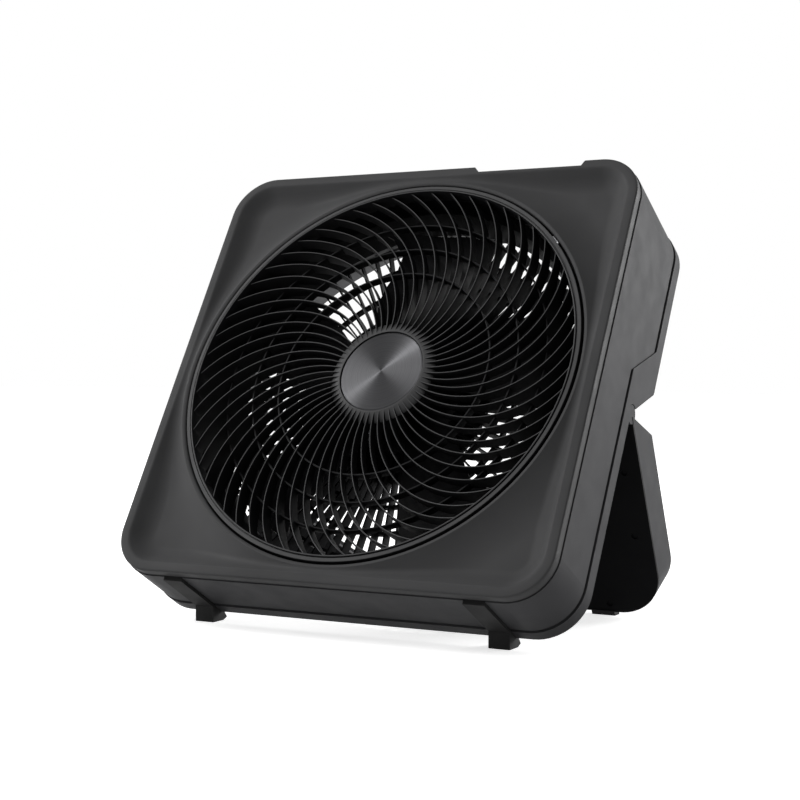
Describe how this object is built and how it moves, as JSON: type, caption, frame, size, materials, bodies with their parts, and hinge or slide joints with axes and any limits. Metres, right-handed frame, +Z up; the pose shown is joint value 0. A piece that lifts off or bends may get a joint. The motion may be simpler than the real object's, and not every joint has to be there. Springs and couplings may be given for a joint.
{
  "type": "box fan",
  "caption": "Square pivoting box fan with a dished surround, spiral finger guard and bladed impeller, leaning back on a fold-out rear stand.",
  "frame": {"origin": "centre of the fan's footprint on the floor, as it stands leaned back on its stand", "axes": "+X to the right seen from the front, the longest extent; +Y back, away from the front grille, the shortest extent; +Z up"},
  "size_m": [0.5304, 0.4012, 0.5152],
  "materials": {
    "charcoal_plastic": "satin moulded plastic",
    "black_plastic": "satin moulded plastic",
    "spun_disc": "circular brushed, dark anodised",
    "motor_paint": "satin paint",
    "motor_iron": "laminated, varnished",
    "bronze_bush": "sintered, oiled",
    "switch_body": "moulded",
    "capacitor_case": "moulded",
    "rubber": "matt",
    "washer_plastic": "smooth",
    "steel": "zinc plated"
  },
  "bodies": {
    "housing": {"front_bezel": "charcoal_plastic", "side_shell": "charcoal_plastic", "rear_shell": "charcoal_plastic", "front_grille": "black_plastic", "hub_disc": "spun_disc", "duct_ring": "black_plastic", "rear_grille": "black_plastic", "motor_can": "motor_paint", "motor_cap": "motor_paint", "motor_stator": "motor_iron", "bearing_front": "bronze_bush", "bearing_rear": "bronze_bush", "motor_screws": "steel", "control_panel": "black_plastic", "speed_switch": "switch_body", "run_capacitor": "capacitor_case", "carry_handle": "black_plastic", "cord_gland": "rubber", "skid_left": "rubber", "skid_right": "rubber", "hinge_pin_left": "steel", "hinge_pin_right": "steel", "bezel_screws": "steel", "rear_screws": "steel", "grille_clips": "steel"},
    "rotor": {"motor_shaft": "steel", "motor_rotor": "motor_iron", "impeller": "black_plastic", "impeller_nut": "steel"},
    "knob": {"speed_knob": "black_plastic", "knob_spindle": "steel"},
    "stand": {"stand_plate": "black_plastic", "stand_shell": "charcoal_plastic", "stand_foot_left": "rubber", "stand_foot_right": "rubber", "stand_screws": "steel", "hinge_washers": "washer_plastic"}
  },
  "joints": [
    {"name": "impeller_spin", "type": "hinge", "parent": "housing", "child": "rotor", "pos_m": [0, -0.01496, 0.25887], "axis": [0, 0.8599, -0.5105], "continuous": true},
    {"name": "knob_turn", "type": "hinge", "parent": "housing", "child": "knob", "pos_m": [0.126, 0.0951, 0.49124], "axis": [0, 0.5105, 0.8599], "range_deg": [-270, 0]},
    {"name": "stand_hinge", "type": "hinge", "parent": "housing", "child": "stand", "pos_m": [0, 0.02408, 0.23453], "axis": [1, 0, 0], "range_deg": [-55.5, 34]}
  ]
}
